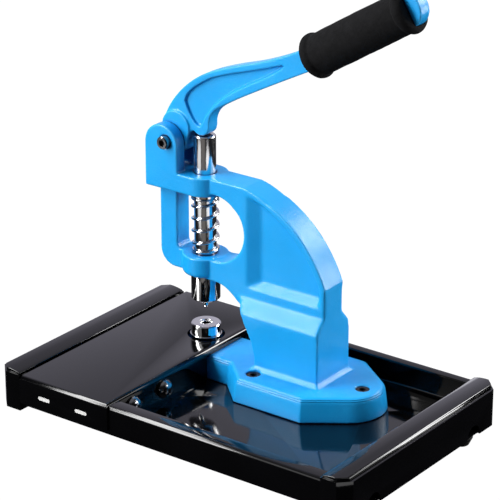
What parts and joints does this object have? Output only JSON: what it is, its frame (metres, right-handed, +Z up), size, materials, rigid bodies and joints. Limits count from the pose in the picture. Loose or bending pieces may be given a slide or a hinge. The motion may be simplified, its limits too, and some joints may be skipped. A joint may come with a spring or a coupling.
{
  "type": "eyelet press",
  "caption": "Hand press for eyelets: cast frame with a sprung ram, dies and a gripped lever, bolted into a sheet steel tray.",
  "frame": {"origin": "middle of the rest plane, under the centre of the tray", "axes": "+Z up; +X along the tray to the right, away from the ram; +Y to the back"},
  "size_m": [0.32, 0.2032, 0.3466],
  "materials": {
    "black_sheet": "gloss black baked enamel",
    "blue_enamel": "gloss blue enamel over a fine cast grain",
    "chrome": "polished plated steel",
    "zinc": "bright zinc plating",
    "black_oxide": "black oxide",
    "rubber": "moulded rubber",
    "foam": "closed cell foam, matte"
  },
  "bodies": {
    "frame": {"base_tray": "black_sheet", "left_end_rail": "black_sheet", "right_end_rail": "black_sheet", "left_rail_cap": "black_sheet", "right_rail_cap": "black_sheet", "platform_cover": "black_sheet", "cover_clips": "zinc", "cover_screws": "black_oxide", "cover_nuts": "zinc", "rubber_feet": "rubber", "foot_screws": "zinc", "rail_screws": "zinc", "frame_casting": "blue_enamel", "frame_bolts": "black_oxide", "frame_washers": "zinc", "frame_nuts": "zinc", "pivot_bolt": "black_oxide", "pivot_nut": "black_oxide", "return_spring": "chrome", "lower_die": "chrome", "die_set_screw": "black_oxide"},
    "handle": {"handle_lever": "blue_enamel", "foam_grip": "foam"},
    "plunger": {"ram": "chrome", "retaining_ring": "black_oxide", "spring_washer": "chrome", "upper_die": "chrome"}
  },
  "joints": [
    {"name": "handle_swing", "type": "hinge", "parent": "frame", "child": "handle", "pos_m": [-0.0954, 0.0435, 0.1962], "axis": [0, 1, 0], "range_deg": [0, 40]},
    {"name": "ram_slide", "type": "slide", "parent": "frame", "child": "plunger", "axis": [0, 0, -1], "range_m": [0, 0.0187], "stiffness_N_per_m": 2000, "springref_m": -0.0225, "deforming": ["return_spring"]}
  ],
  "couplings": [
    {"joint": "ram_slide", "follows": "handle_swing", "m_per_rad": 0.026798}
  ]
}
